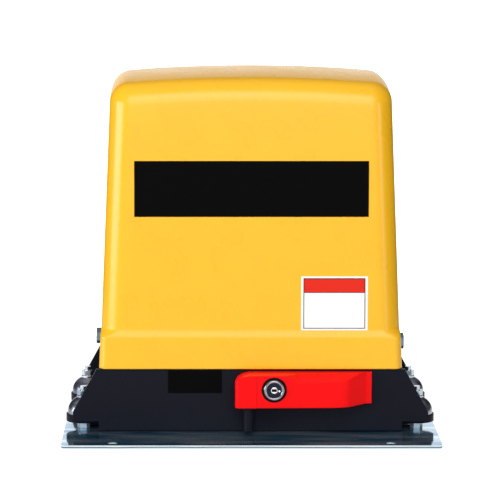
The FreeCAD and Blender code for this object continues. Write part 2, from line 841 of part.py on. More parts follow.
# Clutch: a cross pin in the wheel's notches, a spring behind it and a rod in front of it
nodes["drive_pin"] = rod(
    "x", (dim.drive_pin_y, dim.output_z),
    (dim.output_x - dim.hub_radius + 1, dim.output_x + dim.hub_radius - 1), dim.drive_pin_radius)
spring_start = dim.drive_pin_y + dim.drive_pin_radius + 0.2
spring_turns = 5
wire = 2
spring_pitch = (circlip_starts[0] - spring_start - wire - 0.2) / spring_turns
wire_inner = dim.shaft_radius + 1
wire_profile = [(wire_inner, 0), (wire_inner + wire, 0), (wire_inner + wire, wire), (wire_inner, wire)]
nodes["clutch_spring"] = place(coil(spring_pitch, spring_turns, wire_profile), "y", output, spring_start)
nodes["release_rod"] = rod(
    "y", output, (dim.rod_tip, dim.drive_pin_y - dim.drive_pin_radius - 0.3), dim.rod_radius)

# Release handle, its pivot shaft and its cam
hub_reach = dim.pivot_x - dim.handle_left
handle_right = dim.handle_tab - dim.tab_length
handle_back = dim.pivot_y + hub_reach
handle_height = (dim.handle_bottom, dim.handle_top)
tab_front = handle_back - 5.5
end_front = dim.handle_front + dim.handle_lean
slant_start = handle_right - dim.end_slant
handle_outline = extrusion("z", handle_height, [
    (dim.handle_left, dim.pivot_y),
    (dim.handle_left, dim.handle_front),
    (slant_start, end_front),
    (handle_right, tab_front),
    (dim.handle_tab, tab_front),
    (dim.handle_tab, handle_back),
    (dim.pivot_x, handle_back),
])


def upright_at(x, y):
    """A test for the upright edge at one corner of the handle's plan."""
    def chosen(edge):
        middle = edge.BoundBox.Center
        return edge.BoundBox.ZLength > 1 and abs(middle.x - x.value) < 0.01 and abs(middle.y - y.value) < 0.01
    return chosen


left_rounded = rounded(handle_outline, dim.handle_round, upright_at(dim.handle_left, dim.handle_front))
handle_form = fuse(
    rod("z", pivot, handle_height, hub_reach),
    rounded(left_rounded, dim.slant_round, upright_at(slant_start, end_front)),
)
bevel_start = dim.lock_x + dim.bezel_radius + 2.5


def handle_bevel():
    """What the slanted face along the top front edge takes away; it starts thin beside the lock."""
    body = doc.addObject("PartDesign::Body", "bevel")
    steepness = dim.bevel_drop / dim.bevel_depth
    sections = []
    for x, share in ((bevel_start, 0.02), (bevel_start + 9, 1), (dim.handle_tab + 1, 1)):
        front = dim.handle_front + dim.handle_lean * (x - dim.handle_left) / (slant_start - dim.handle_left)
        drop = dim.bevel_drop * share
        sketch = new_sketch(body, "YZ_Plane", x)
        draw_polygon(sketch, [
            (front - 1, dim.handle_top - drop - steepness),
            (front + dim.bevel_depth * share + 1, dim.handle_top + steepness),
            (front - 1, dim.handle_top + steepness),
        ])
        sections.append(sketch)
    doc.recompute()
    loft = body.newObject("PartDesign::AdditiveLoft", "slant")
    loft.Profile = sections[0]
    loft.Sections = sections[1:]
    loft.Ruled = True
    return body


corner_drop = 7
corner_run = 13.5
top_left_corner = extrusion("y", (dim.handle_front - 1, handle_back + 1), [
    (dim.handle_left - 1, dim.handle_top - corner_drop),
    (dim.handle_left, dim.handle_top - corner_drop),
    (dim.handle_left + 2.5, dim.handle_top - 3.5),
    (dim.handle_left + 7, dim.handle_top - 1.2),
    (dim.handle_left + corner_run, dim.handle_top),
    (dim.handle_left + corner_run, dim.handle_top + 1),
    (dim.handle_left - 1, dim.handle_top + 1),
])
end_rise = 1
lower_right_edge = extrusion("y", (dim.handle_front - 1, handle_back + 1), [
    (handle_right - 32, dim.handle_bottom - 1),
    (dim.handle_tab + 1, dim.handle_bottom - 1),
    (dim.handle_tab + 1, dim.handle_bottom + end_rise),
    (handle_right, dim.handle_bottom + end_rise),
    (handle_right - 32, dim.handle_bottom),
])
cam_half = 4.3
cam_span = (dim.output_z - cam_half, dim.output_z + cam_half)
cam_room = (cam_span[0] - 0.5, cam_span[1] + 0.5)
cam_boss = dim.pivot_radius + 1.3
lobe_offset = 6
lobe_angle = size(215)
lobe = (dim.pivot_x + lobe_offset * cosine(lobe_angle), dim.pivot_y + lobe_offset * sine(lobe_angle))
recess_floor = dim.handle_front + 1.2
cavity_y = (dim.handle_front + dim.handle_wall, handle_back + 1)
nodes["release_handle"] = cut(
    handle_form,
    top_left_corner,
    lower_right_edge,
    handle_bevel(),
    block(
        (dim.handle_left + 2.2, dim.pivot_x + 14),
        (dim.handle_front + 2, handle_back + 1),
        cam_room,
    ),
    block((dim.handle_left - 5, dim.pivot_x), (dim.pivot_y - 4.2, handle_back + 1), cam_room),
    block(
        (dim.handle_left - 1, dim.pivot_x + hub_reach),
        (dim.pivot_y - hub_reach - 1, dim.handle_front),
        (dim.handle_bottom - 1, dim.handle_top + 1),
    ),
    block((dim.pivot_x + 14.5, bevel_start), cavity_y, (dim.handle_bottom + 4.3, dim.handle_top - 3)),
    block(
        (bevel_start - 1, slant_start - 1.4),
        cavity_y,
        (dim.handle_bottom + 4.3, dim.handle_top - dim.bevel_drop - 1.7),
    ),
    rod("z", pivot, (dim.handle_bottom - 1, dim.handle_top - 3), dim.pivot_radius + dim.seat_gap),
    rod("y", lock, (dim.handle_front - 1, recess_floor), dim.bezel_radius + 2),
    rod("y", lock, (recess_floor - 1, cavity_y[0] + 1), dim.barrel_radius + dim.seat_gap),
)
nodes["release_shaft"] = rod("z", pivot, (dim.post_bottom + 3.3, dim.handle_top - 3.3), dim.pivot_radius)
nodes["release_cam"] = cut(
    fuse(rod("z", pivot, cam_span, cam_boss), rod("z", lobe, cam_span, 4.5)),
    rod("z", pivot, cam_span, dim.pivot_radius + dim.seat_gap),
)

# Lock in the handle, and the keeper on the housing that its tongue turns behind
barrel_end = dim.handle_front + 10
tongue_y = (handle_back - 8, handle_back - 5.5)
plug_bore = dim.plug_radius + dim.running_gap
gasket_front = recess_floor - 0.6
gasket_span = (gasket_front, recess_floor)
nodes["lock_gasket"] = ring("y", lock, gasket_span, dim.barrel_radius + 0.2, dim.bezel_radius + 1.9)
bezel_front = dim.handle_front - 1


def on_bezel_front(edge):
    return abs(edge.BoundBox.YMax - bezel_front.value) < 0.001


nodes["lock_barrel"] = cut(
    fuse(
        rounded(rod("y", lock, (bezel_front, gasket_front), dim.bezel_radius), size(0.8), on_bezel_front),
        rod("y", lock, (gasket_front, barrel_end), dim.barrel_radius),
    ),
    rod("y", lock, (dim.handle_front - 2, barrel_end + 1), plug_bore),
)
spindle_radius = 3
nodes["lock_plug"] = cut(
    fuse(
        rod("y", lock, (dim.handle_front - 0.4, barrel_end), dim.plug_radius),
        rod("y", lock, (barrel_end, tongue_y[1]), spindle_radius),
    ),
    block(
        (dim.lock_x - 4.5, dim.lock_x + 4.5),
        (dim.handle_front - 1, dim.handle_front + 3),
        (dim.lock_z - 0.6, dim.lock_z + 0.6),
    ),
)
nodes["lock_tongue"] = cut(
    fuse(
        rod("y", lock, tongue_y, spindle_radius + 1.5),
        block((dim.lock_x - 3, dim.lock_x + 3), tongue_y, (dim.lock_z, dim.lock_z + 9)),
    ),
    rod("y", lock, tongue_y, spindle_radius + dim.seat_gap),
)
lip_y = (tongue_y[0] - 3.5, tongue_y[0] - 0.5)
nodes["lock_keeper"] = fuse(
    block((keeper_left, keeper_right), (lip_y[0], inner_front), keeper_z),
    block((dim.lock_x + 5.8, keeper_right), lip_y, keeper_z),
)

# Battery in the left bay
battery_middle = (inner_front + inner_rear) / 2
battery_x = (dim.battery_side_room - inner_half, dim.chamber_left - dim.partition - dim.battery_inner_room)
battery_y = (battery_middle - dim.battery_depth / 2, battery_middle + dim.battery_depth / 2)
battery_top = floor_top + dim.battery_height
nodes["battery"] = rounded_plate(battery_x, battery_y, (floor_top, battery_top), 3)
nodes["battery_terminals"] = group(*[
    block(
        (battery_x[0] + 14, battery_x[0] + 20.5),
        (battery_middle + side * 34 - 0.4, battery_middle + side * 34 + 0.4),
        (battery_top, battery_top + 6),
    )
    for side in (-1, 1)
])

# Control board on its bracket
board_x = (dim.board_left, dim.board_right)
board_front = dim.board_y
board_rear = dim.board_y + 1.6
bracket_y = (board_rear + 6, board_rear + 7.5)
nodes["board_bracket"] = fuse(
    block(board_x, bracket_y, (lid_top + 1.5, dim.board_top)),
    block((dim.chamber_left, dim.chamber_right), (inner_front + 12, bracket_y[1]), (lid_top, lid_top + 1.5)),
    block((dim.chamber_left, dim.chamber_right), bracket_y, (lid_top, lid_top + 2)),
)
nodes["control_board"] = block(board_x, (board_front, board_rear), (dim.board_bottom, dim.board_top))
spacer_places = [
    (x, z)
    for x in (dim.board_left + 5, dim.board_right - 5)
    for z in (dim.board_bottom + 5, dim.board_top - 5)
]
nodes["board_spacers"] = group(*[rod("y", point, (board_rear, bracket_y[0]), 3) for point in spacer_places])


def on_board(x, z, depth):
    """A block standing on the board's front, placed from the board's lower left corner."""
    return block(
        (dim.board_left + x[0], dim.board_left + x[1]),
        (board_front - depth, board_front),
        (dim.board_bottom + z[0], dim.board_bottom + z[1]),
    )


nodes["terminal_blocks"] = group(on_board((12, 62), (6, 18), 11), on_board((68, 118), (6, 18), 11))
nodes["relays"] = group(*[on_board((14 + 22 * index, 32 + 22 * index), (62, 84), 13) for index in range(3)])
nodes["heat_sink"] = fuse(
    on_board((88, 122), (62, 104), 2),
    *[on_board((88 + 8 * index, 90 + 8 * index), (62, 104), 13) for index in range(5)],
)
nodes["capacitors"] = group(*[
    rod("y", (dim.board_left + x, dim.board_bottom + 40), (board_front - 13, board_front), 6.5)
    for x in (26, 46)
])

# Cover
cover_middle = (dim.cover_front + dim.cover_rear) / 2
cover_depth_half = (dim.cover_rear - dim.cover_front) / 2
cover_loft_top = dim.cover_apex + 8


def cover_form(inset):
    """The cover's outside, or its inside when an inset is given."""
    body = doc.addObject("PartDesign::Body", "cover_form")
    slope = tangent(dim.cover_draft)
    skirt_lean = (dim.skirt_top - dim.cover_bottom) * slope
    shoulder_lean = skirt_lean + dim.shoulder_inset
    top_lean = shoulder_lean + (cover_loft_top - dim.shoulder_top) * slope
    wider = dim.shoulder_inset - dim.side_shoulder_inset
    sections = []
    for height, lean, extra, corner in (
        (dim.cover_bottom, size(0), size(0), dim.skirt_corner),
        (dim.skirt_top, skirt_lean, size(0), dim.skirt_corner),
        (dim.shoulder_top, shoulder_lean, wider, dim.corner_radius),
        (cover_loft_top, top_lean, wider, dim.corner_radius),
    ):
        half_x = cover_half - inset - lean + extra
        half_y = cover_depth_half - inset - lean
        sketch = new_sketch(body, "XY_Plane", height)
        draw_rounded_rectangle(
            sketch, (-half_x, half_x), (cover_middle - half_y, cover_middle + half_y),
            corner - inset)
        sections.append(sketch)
    doc.recompute()
    loft = body.newObject("PartDesign::AdditiveLoft", "loft")
    loft.Profile = sections[0]
    loft.Sections = sections[1:]
    loft.Ruled = True
    crown = rod(
        "y", (0, dim.cover_apex - inset - dim.crown_radius),
        (dim.cover_front - 20, dim.cover_rear + 20), dim.crown_radius)
    crowned = common(body, crown)
    lowest_top = dim.cover_apex.value - 25

    def around_top(edge):
        return edge.BoundBox.ZMin > lowest_top

    return rounded(crowned, dim.top_round - inset, around_top)


side_holes = [
    rod("x", (dim.left_screw_y, dim.screw_z), (-cover_half - 2, -inner_half - 0.1), screw_radius + 0.3),
    rod("x", (dim.right_screw_y, dim.screw_z), (inner_half + 0.1, cover_half + 2), screw_radius + 0.3),
]
nodes["cover"] = cut(cover_form(size(0)), cover_form(dim.cover_wall), *side_holes)
cover_gasket_span = (dim.housing_top, dim.cover_bottom)
gasket_outer = rounded_plate(
    (1 - cover_half, cover_half - 1),
    (dim.cover_front + 1, dim.cover_rear - 1),
    cover_gasket_span,
    dim.skirt_corner - 1,
)
gasket_edge = dim.gasket_width + 1
gasket_inner = rounded_plate(
    (gasket_edge - cover_half, cover_half - gasket_edge),
    (dim.cover_front + gasket_edge, dim.cover_rear - gasket_edge),
    cover_gasket_span,
    dim.skirt_corner - gasket_edge,
)
nodes["cover_gasket"] = cut(gasket_outer, gasket_inner)
head_height = 5.3
head_seat = cover_half - (dim.screw_z - dim.cover_bottom) * tangent(dim.cover_draft) + 0.3
nodes["cover_screws"] = group(
    fuse(
        rod("x", (dim.left_screw_y, dim.screw_z), (-head_seat, 8 - inner_half), screw_radius),
        hexagon("x", (dim.left_screw_y, dim.screw_z), (-head_seat - head_height, -head_seat), 13),
    ),
    fuse(
        rod("x", (dim.right_screw_y, dim.screw_z), (inner_half - 8, head_seat), screw_radius),
        hexagon("x", (dim.right_screw_y, dim.screw_z), (head_seat, head_seat + head_height), 13),
    ),
)

doc.recompute()

# Nothing is written unless every object and every shape is sound
for item in doc.Objects:
    if "Invalid" in item.State or "Error" in item.State:
        raise RuntimeError("not made: " + item.Name)
for node_name, node in nodes.items():
    if node.Shape.isNull() or not node.Shape.isValid() or not node.Shape.Solids:
        raise RuntimeError("bad shape: " + node_name)

os.makedirs("parts", exist_ok=True)
for node_name, node in nodes.items():
    node.Label = node_name
    node.Shape.exportStep("parts/%s.step" % node_name)
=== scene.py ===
import json
import math

import bmesh
import bpy
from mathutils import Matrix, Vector


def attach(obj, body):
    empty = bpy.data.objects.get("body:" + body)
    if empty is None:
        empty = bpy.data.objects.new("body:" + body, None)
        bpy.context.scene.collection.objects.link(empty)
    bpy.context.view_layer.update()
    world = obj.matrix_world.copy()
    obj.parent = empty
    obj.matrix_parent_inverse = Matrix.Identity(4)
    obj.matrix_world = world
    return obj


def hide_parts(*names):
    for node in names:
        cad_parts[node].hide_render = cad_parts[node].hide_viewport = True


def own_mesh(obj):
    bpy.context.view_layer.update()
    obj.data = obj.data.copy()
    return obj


# Studio picture of the gate motor. Lengths of pieces are in millimetres and become metres in the meshes.
# The floor, the lights and the camera are placed in metres.
MM = 0.001

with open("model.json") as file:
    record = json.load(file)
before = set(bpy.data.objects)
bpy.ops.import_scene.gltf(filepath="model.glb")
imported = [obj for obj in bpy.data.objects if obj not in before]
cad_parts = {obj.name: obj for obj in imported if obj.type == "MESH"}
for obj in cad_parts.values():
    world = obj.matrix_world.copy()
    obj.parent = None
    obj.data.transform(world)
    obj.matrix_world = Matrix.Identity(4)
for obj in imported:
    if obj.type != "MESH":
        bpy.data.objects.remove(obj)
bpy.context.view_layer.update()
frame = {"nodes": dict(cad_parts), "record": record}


# Shader nodes

def linear(channel):
    """One 0 to 255 screen channel as linear light."""
    share = channel / 255
    if share <= 0.04045:
        return share / 12.92
    return ((share + 0.055) / 1.055) ** 2.4


def colour(red, green, blue):
    return (linear(red), linear(green), linear(blue), 1.0)


def calculate(tree, operation, *values):
    """The result of a Math node that is fed from numbers or sockets."""
    node = tree.nodes.new("ShaderNodeMath")
    node.operation = operation
    for socket, value in zip(node.inputs, values):
        if isinstance(value, float):
            socket.default_value = value
        else:
            tree.links.new(value, socket)
    return node.outputs["Value"]


def remap(tree, value, start, end, to_start=0.0, to_end=1.0, interpolation="LINEAR"):
    """A socket's value moved from one range to another, and held at its ends."""
    node = tree.nodes.new("ShaderNodeMapRange")
    node.interpolation_type = interpolation
    node.inputs["From Min"].default_value = start
    node.inputs["From Max"].default_value = end
    node.inputs["To Min"].default_value = to_start
    node.inputs["To Max"].default_value = to_end
    tree.links.new(value, node.inputs["Value"])
    return node.outputs["Result"]


def ramp(tree, value, stops):
    """A colour by a socket's value, from (position, colour) stops in rising order."""
    node = tree.nodes.new("ShaderNodeValToRGB")
    elements = node.color_ramp.elements
    for position, tone in stops[1:-1]:
        elements.new(position)
    for element, (position, tone) in zip(elements, stops):
        element.position = position
        element.color = tone
    tree.links.new(value, node.inputs["Fac"])
    return node.outputs["Color"]


def noise(tree, vector, scale, detail):
    node = tree.nodes.new("ShaderNodeTexNoise")
    node.inputs["Scale"].default_value = scale
    node.inputs["Detail"].default_value = detail
    tree.links.new(vector, node.inputs["Vector"])
    return node.outputs["Fac"]


def split(tree, vector):
    """The X, Y and Z sockets of a vector."""
    node = tree.nodes.new("ShaderNodeSeparateXYZ")
    tree.links.new(vector, node.inputs["Vector"])
    return node.outputs


# Materials

PATCHES_PER_METRE = (38.0, 38.0, 38.0)
STREAKS_PER_METRE = (12.0, 70.0, 70.0)
PATCH_DETAIL = 1.0
STREAK_DETAIL = 4.0
PATCH_STOPS = (0.38, 0.64)
PALER = 1.01
GLOSS_RANGE = (0.3, 0.7)
GLOSS_SPREAD = 0.06
GRAIN_DETAIL = 3.0
BEVEL_SAMPLES = 6


def surface(name, rgb, roughness, metallic=0.0, index=1.15, edge=0.0, grain=None, streak=None):
    """A shader whose colour and gloss vary a little in soft patches. Edge softens sharp edges, grain is
    the size and depth of a fine bump in mm, and streak is a second colour that runs through the first
    in bands."""
    material = bpy.data.materials.new(name)
    material.use_nodes = True
    tree = material.node_tree
    shader = tree.nodes["Principled BSDF"]
    shader.inputs["Metallic"].default_value = metallic
    shader.inputs["IOR"].default_value = index
    place = tree.nodes.new("ShaderNodeTexCoord").outputs["Object"]
    stretch = tree.nodes.new("ShaderNodeMapping")
    stretch.inputs["Scale"].default_value = STREAKS_PER_METRE if streak else PATCHES_PER_METRE
    tree.links.new(place, stretch.inputs["Vector"])
    patches = noise(tree, stretch.outputs["Vector"], 1.0, STREAK_DETAIL if streak else PATCH_DETAIL)
    pale = streak or [min(channel * PALER, 255) for channel in rgb]
    blend = ramp(tree, patches, list(zip(PATCH_STOPS, (colour(*rgb), colour(*pale)))))
    tree.links.new(blend, shader.inputs["Base Color"])
    gloss = remap(tree, patches, *GLOSS_RANGE, roughness * (1 - GLOSS_SPREAD), roughness * (1 + GLOSS_SPREAD))
    tree.links.new(gloss, shader.inputs["Roughness"])
    normal = None
    if edge:
        bevel = tree.nodes.new("ShaderNodeBevel")
        bevel.samples = BEVEL_SAMPLES
        bevel.inputs["Radius"].default_value = edge * MM
        normal = bevel.outputs["Normal"]
    if grain:
        size, depth = grain
        bump = tree.nodes.new("ShaderNodeBump")
        bump.inputs["Strength"].default_value = 1.0
        bump.inputs["Distance"].default_value = depth * MM
        tree.links.new(noise(tree, place, 1 / (size * MM), GRAIN_DETAIL), bump.inputs["Height"])
        if normal:
            tree.links.new(normal, bump.inputs["Normal"])
        normal = bump.outputs["Normal"]
    if normal:
        tree.links.new(normal, shader.inputs["Normal"])
    return material


PLATE_THICKNESS = 3
EDGE_WANDER = 0.5
EDGE_PATCHES_PER_METRE = 22.0
EDGE_PATCH_DETAIL = 2.0
# Painted reflection on the plate's upright edges, by height: pale below, a dark band, then a bright painted
# highlight at the top
PAINTED_EDGE_REFLECTIONS = (
    (0.54, colour(172, 198, 214)),
    (0.60, colour(46, 62, 74)),
    (0.78, colour(46, 62, 74)),
    (0.86, colour(214, 224, 230)),
)


def plate_surface():
    """Bright zinc on the plate's faces. Its sheared edges get a painted reflection, banded by height: a
    wandering dark band between pale ones, with a painted highlight along their top.
    """
    material = surface(
        "zinc_plate", (56, 128, 172), 0.08, metallic=0.87, grain=(16, 0.04), streak=(196, 214, 224))
    tree = material.node_tree
    shader = tree.nodes["Principled BSDF"]
    faces = shader.inputs["Base Color"].links[0].from_socket
    place = tree.nodes.new("ShaderNodeTexCoord")
    flat = calculate(tree, "ABSOLUTE", split(tree, place.outputs["Normal"])["Z"])
    height = remap(tree, split(tree, place.outputs["Object"])["Z"], 0.0, PLATE_THICKNESS * MM)
    patches = noise(tree, place.outputs["Object"], EDGE_PATCHES_PER_METRE, EDGE_PATCH_DETAIL)
    wander = calculate(tree, "MULTIPLY_ADD", patches, EDGE_WANDER, height)
    # Upright edge faces take the painted edge reflection; flat faces keep the zinc
    mix = tree.nodes.new("ShaderNodeMix")
    mix.data_type = "RGBA"
    tree.links.new(flat, mix.inputs["Factor"])
    tree.links.new(ramp(tree, wander, PAINTED_EDGE_REFLECTIONS), mix.inputs["A"])
    tree.links.new(faces, mix.inputs["B"])
    tree.links.new(mix.outputs["Result"], shader.inputs["Base Color"])
    return material


finishes = {
    "zinc": surface(
        "zinc", (150, 166, 178), 0.2, metallic=0.95, edge=0.3, grain=(5, 0.03), streak=(206, 214, 220)),
    "black_casting": surface("black_casting", (22, 23, 32), 0.4, edge=0.8, grain=(0.9, 0.01)),
    "yellow_plastic": surface("yellow_plastic", (250, 188, 28), 0.28, index=1.5, grain=(2.2, 0.003)),
    "red_plastic": surface("red_plastic", (250, 14, 18), 0.36, index=1.2, edge=1.5),
    "steel": surface("steel", (176, 178, 182), 0.3, metallic=1.0, edge=0.2),
    "chrome": surface("chrome", (142, 144, 150), 0.12, metallic=1.0, edge=0.6),
    "dark_metal": surface("dark_metal", (34, 40, 52), 0.35, metallic=0.6, edge=0.3),
    "bronze": surface("bronze", (190, 142, 72), 0.3, metallic=1.0, edge=0.2),
    "rubber": surface("rubber", (14, 14, 15), 0.7),
    "alloy": surface("alloy", (178, 181, 186), 0.42, metallic=1.0, edge=0.4, grain=(1.2, 0.03)),
    "iron": surface("iron", (62, 62, 66), 0.5, metallic=0.8),
    "carbon": surface("carbon", (26, 26, 27), 0.6),
    "battery_black": surface("battery_black", (34, 34, 37), 0.5, edge=0.6),
    "board_green": surface("board_green", (14, 82, 40), 0.35),
    "terminal_green": surface("terminal_green", (30, 128, 58), 0.45, edge=0.3),
    "relay_blue": surface("relay_blue", (28, 52, 122), 0.45, edge=0.3),
}

# Nodes that look a little different from the rest of their material slot
own_finishes = {
    "base_plate": plate_surface(),
    "cover_screws": surface("screw_steel", (116, 138, 156), 0.3, metallic=0.75, edge=0.3),
    "dished_washers": surface(
        "dull_zinc", (104, 108, 124), 0.28, metallic=0.9, edge=0.3, grain=(4, 0.06), streak=(200, 204, 214)),
    "levelling_nuts": surface("pale_zinc", (190, 206, 214), 0.4, metallic=0.5, edge=0.5),
}
for entry in frame["record"]["subparts"]:
    node = frame["nodes"][entry["node"]]
    node.data.materials.clear()
    node.data.materials.append(own_finishes.get(entry["node"], finishes[entry["material_slot"]]))


# Meshes

MERGE_DISTANCE = 0.00001
CARVED_ANGLE = 32
ROUND_ANGLE = 60


def add_object(name, data):
    added = bpy.data.objects.new(name, data)
    bpy.context.scene.collection.objects.link(added)
    return added


def shape(name, vertices, faces):
    """An object from corners in millimetres, with its faces turned outwards."""
    mesh = bpy.data.meshes.new(name)
    mesh.from_pydata([Vector(corner) * MM for corner in vertices], [], faces)
    builder = bmesh.new()
    builder.from_mesh(mesh)
    bmesh.ops.remove_doubles(builder, verts=builder.verts, dist=MERGE_DISTANCE)
    bmesh.ops.recalc_face_normals(builder, faces=builder.faces)
    builder.to_mesh(mesh)
    builder.free()
    return add_object(name, mesh)


def smooth(mesh, angle):
    """Shade a mesh smooth, apart from edges sharper than an angle in degrees."""
    mesh.polygons.foreach_set("use_smooth", [True] * len(mesh.polygons))
    mesh.set_sharp_from_angle(angle=math.radians(angle))


def new_piece(name, vertices, faces, material, body, smooth_angle=35):
    """A piece from corners in millimetres, smooth where its faces meet gently, riding on a CAD body."""
    piece = shape(name, vertices, faces)
    smooth(piece.data, smooth_angle)
    piece.data.materials.append(material)
    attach(piece, body)
    return piece


def carve(piece, cutter):
    """Cut the cutter's shape out of a piece for good, and drop the cutter."""
    step = piece.modifiers.new("carve", "BOOLEAN")
    step.operation = "DIFFERENCE"
    step.solver = "EXACT"
    step.object = cutter
    graph = bpy.context.evaluated_depsgraph_get()
    carved = bpy.data.meshes.new_from_object(piece.evaluated_get(graph))
    piece.modifiers.clear()
    piece.data = carved
    smooth(carved, CARVED_ANGLE)
    bpy.data.objects.remove(cutter)


def join_rings(rings, closed=True):
    """Corners and faces of a skin over rings that all have the same number of points, and of its two
    end faces if it is closed."""
    count = len(rings[0])
    vertices = [point for ring in rings for point in ring]
    faces = []
    for low in range(len(rings) - 1):
        for index in range(count):
            following = (index + 1) % count
            faces.append((
                low * count + index,
                low * count + following,
                (low + 1) * count + following,
                (low + 1) * count + index,
            ))
    if closed:
        last = (len(rings) - 1) * count
        faces.append(tuple(reversed(range(count))))
        faces.append(tuple(range(last, last + count)))
    return vertices, faces


def rectangle(across, up):
    """The four corners between two ends across and two ends up, in turn."""
    return [(across[0], up[0]), (across[1], up[0]), (across[1], up[1]), (across[0], up[1])]


def box_corners(x, y, z):
    """Corners and faces of a box from its two ends along each axis."""
    return join_rings([[(side, depth, height) for side, depth in rectangle(x, y)] for height in z])


def circle(axis, centre, position, radius, count=48):
    """Points of a circle about one axis; centre has the other two coordinates in x, y, z order."""
    points = []
    for index in range(count):
        turn = 2 * math.pi * index / count
        across = [centre[0] + radius * math.cos(turn), centre[1] + radius * math.sin(turn)]
        across.insert("xyz".index(axis), position)
        points.append(tuple(across))
    return points


def turned(axis, centre, profile, count=48):
    """Rings of a turned shape from (position along the axis, radius) pairs."""
    return [circle(axis, centre, position, radius, count) for position, radius in profile]


# Cover: rounded, tapered, with a shoulder above its skirt and a crowned top that falls to the front

COVER_HALF = 138.5
COVER_FRONT = -55
COVER_REAR = 82
COVER_BOTTOM = 61.5
COVER_APEX = 331
COVER_MIDDLE = (COVER_FRONT + COVER_REAR) / 2
COVER_DEPTH_HALF = (COVER_REAR - COVER_FRONT) / 2
COVER_WALL = 3
SHOULDER = (90, 98)
SHOULDER_INSET = 1.36
SIDE_WIDER = 1.1
DRAFT = math.tan(math.radians(2.25))
BOTTOM_ROUND = 0.9
TOP_ROUND = 17
CORNER = 20
SKIRT_CORNER = 7
CORNER_TIGHTENING = 0.97
CROWN = 1 / 2800
TOP_FALL = 0.0014
FALL_START = 20
LEVEL_BELOW = 140
ARC_STEPS = 12
LONG_SIDE_PARTS = 24
SHORT_SIDE_PARTS = 10
LEVEL_HEIGHTS = (
    64, 70, 78, 85, 88, 89.5, 90.5, 91.5, 92.5, 93.5, 94.5, 95.5, 96.5, 97.5, 98.5, 101, 112, LEVEL_BELOW)
BOWED_HEIGHTS = (180, 220, 260, 290, 305)
TOP_SHARES = (0.12, 0.35, 0.65, 1.0)


def smooth_step(share):
    share = min(max(share, 0), 1)
    return share * share * (3 - 2 * share)


def shoulder_share(height):
    return smooth_step((height - SHOULDER[0]) / (SHOULDER[1] - SHOULDER[0]))


def cover_lean(height):
    """How far the cover's walls have come in at a height."""
    return (height - COVER_BOTTOM) * DRAFT + SHOULDER_INSET * shoulder_share(height)


def cover_fall(x, y):
    """How far the cover's top has come down, at the sides and towards the front."""
    return x * x * CROWN + min(y - FALL_START, 0) ** 2 * TOP_FALL


def cover_corner(height):
    """Radius of the upright corners: small on the skirt, large above the shoulder."""
    return SKIRT_CORNER + (CORNER - SKIRT_CORNER) * shoulder_share(height)


def rounded_outline(half_x, half_y, radius):
    """Points round a rectangle with round corners, with the sides divided."""
    points = []
    corners = [(1, 1, 0), (-1, 1, 90), (-1, -1, 180), (1, -1, 270)]

    def corner_point(corner, swing):
        side_x, side_y, start = corner
        turn = math.radians(start + swing)
        return (
            side_x * (half_x - radius) + radius * math.cos(turn),
            side_y * (half_y - radius) + radius * math.sin(turn),
        )

    for index, corner in enumerate(corners):
        points += [corner_point(corner, 90 * step / ARC_STEPS) for step in range(ARC_STEPS + 1)]
        here = points[-1]
        there = corner_point(corners[(index + 1) % 4], 0)
        parts = LONG_SIDE_PARTS if index % 2 == 0 else SHORT_SIDE_PARTS
        for step in range(1, parts):
            share = step / parts
            points.append((here[0] + (there[0] - here[0]) * share, here[1] + (there[1] - here[1]) * share))
    return points


def cover_ring(height, inward=0.0, crowned=0.0, radius=None):
    """The cover's outline at a height, lowered by a share of the top's fall. What is lowered slips out
    down the walls' slope."""
    radius = radius or cover_corner(height)
    lean = cover_lean(height) + inward
    half_x = COVER_HALF - lean + SIDE_WIDER * shoulder_share(height)
    half_y = COVER_DEPTH_HALF - lean
    ring = []
    for x, y in rounded_outline(half_x, half_y, radius):
        drop = crowned * cover_fall(x, y)
        side_drop = crowned * x * x * CROWN
        ring.append((
            x * (1 + side_drop * DRAFT / half_x),
            COVER_MIDDLE + y * (1 + drop * DRAFT / half_y),
            height - drop,
        ))
    return ring


round_start = COVER_APEX - TOP_ROUND
rings = [
    cover_ring(COVER_BOTTOM, BOTTOM_ROUND, radius=SKIRT_CORNER - BOTTOM_ROUND),
    cover_ring(COVER_BOTTOM + 0.25, 0.25),
    cover_ring(COVER_BOTTOM + BOTTOM_ROUND),
]
rings += [cover_ring(height) for height in LEVEL_HEIGHTS]
for height in BOWED_HEIGHTS:
    rings.append(cover_ring(height, crowned=(height - LEVEL_BELOW) / (round_start - LEVEL_BELOW)))
for step in range(ARC_STEPS + 1):
    turn = math.radians(90 * step / ARC_STEPS)
    height = round_start + TOP_ROUND * math.sin(turn)
    rounding = TOP_ROUND * (1 - math.cos(turn))
    inward = rounding - (height - round_start) * DRAFT
    rings.append(cover_ring(height, inward, 1.0, CORNER - rounding * CORNER_TIGHTENING))
rim = rings[-1]
spine = max(point[0] for point in rim) - (max(point[1] for point in rim) - COVER_MIDDLE)
for share in TOP_SHARES:
    ring = []
    for x, y, height in rim:
        along = min(max(x, -spine), spine)
        new_x = x + (along - x) * share
        new_y = y + (COVER_MIDDLE - y) * share
        ring.append((new_x, new_y, COVER_APEX - cover_fall(new_x, new_y - COVER_MIDDLE)))
    rings.append(ring)
vertices, faces = join_rings(rings, closed=False)
cover = new_piece(
    "cover_shell", vertices, faces, finishes["yellow_plastic"], "base", ROUND_ANGLE)
shell = cover.modifiers.new("wall", "SOLIDIFY")
shell.thickness = COVER_WALL * MM
shell.offset = -1
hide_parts("cover")


# Clutch spring: a round wire wound about the output shaft. It rides on the output body at one fixed length
# and does not shorten as the clutch slides

SPRING_CENTRE = (-2, 42)
SPRING_ENDS = (31.7, 55.8)
SPRING_RADIUS = 10.5
SPRING_TURNS = 5
WIRE_RADIUS = 1
WIRE_SIDES = 10
STEPS_PER_TURN = 24

